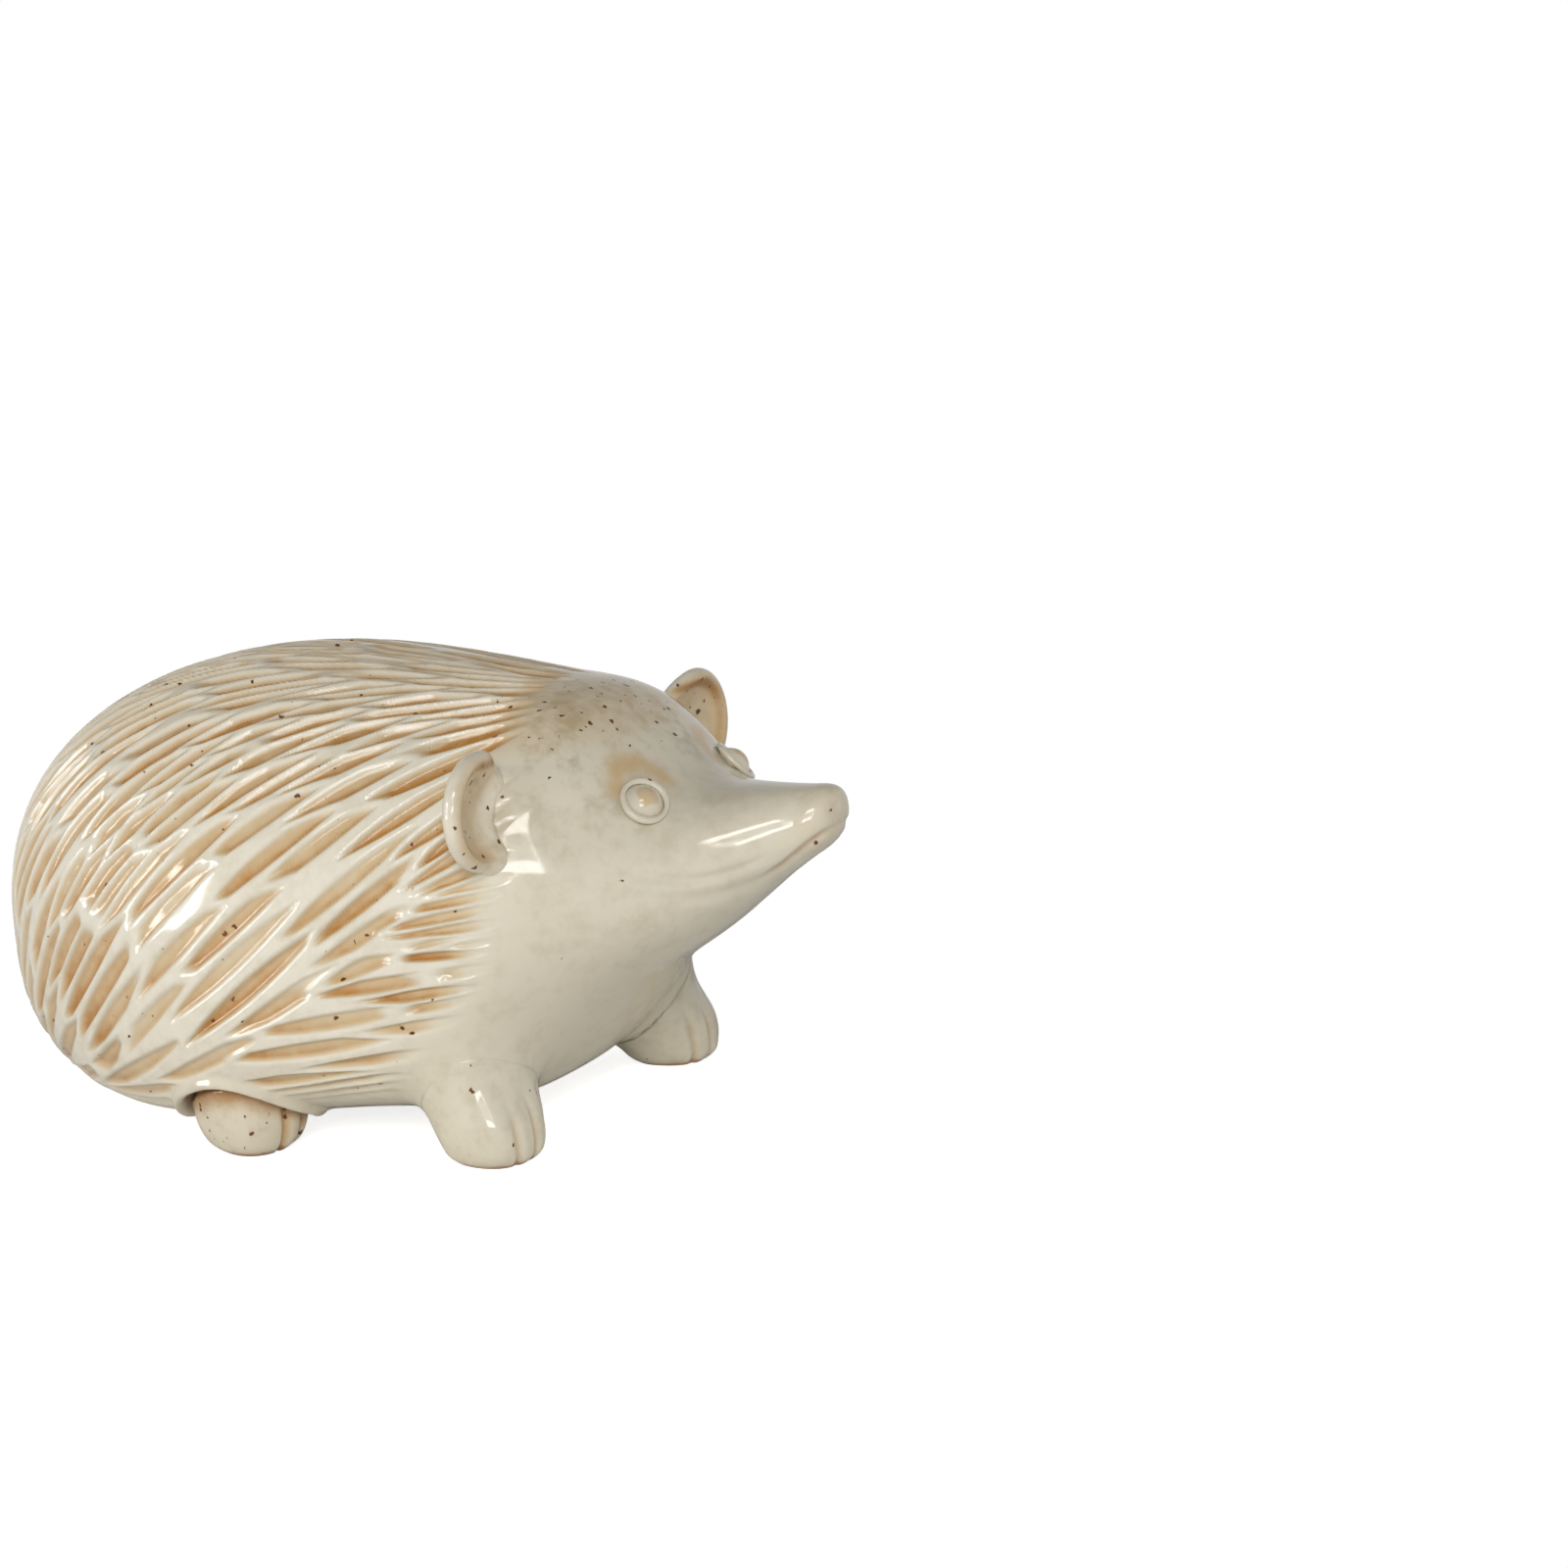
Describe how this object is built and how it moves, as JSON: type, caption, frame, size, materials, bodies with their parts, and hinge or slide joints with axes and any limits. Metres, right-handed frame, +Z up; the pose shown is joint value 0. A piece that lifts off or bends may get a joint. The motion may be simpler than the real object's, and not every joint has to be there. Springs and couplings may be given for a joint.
{
  "type": "hedgehog figurine",
  "caption": "Glazed stoneware hedgehog ornament with a carved spine coat, raised snout and small feet, free-standing on flat soles.",
  "frame": {"origin": "centre of the footprint box on the surface it stands on", "axes": "+X towards the nose, +Y to the animal's left, +Z up"},
  "size_m": [0.24, 0.1614, 0.124],
  "materials": {
    "body_glaze": "gloss",
    "ear_glaze": "gloss",
    "eye_glaze": "gloss",
    "nose_glaze": "gloss",
    "paw_glaze": "gloss"
  },
  "bodies": {
    "root": {"body_shell": "body_glaze", "nose_tip": "nose_glaze", "left_ear": "ear_glaze", "left_eye_rim": "eye_glaze", "left_eyeball": "eye_glaze", "left_forefoot": "paw_glaze", "left_hind_foot": "paw_glaze", "right_ear": "ear_glaze", "right_eye_rim": "eye_glaze", "right_eyeball": "eye_glaze", "right_forefoot": "paw_glaze", "right_hind_foot": "paw_glaze"}
  },
  "joints": []
}
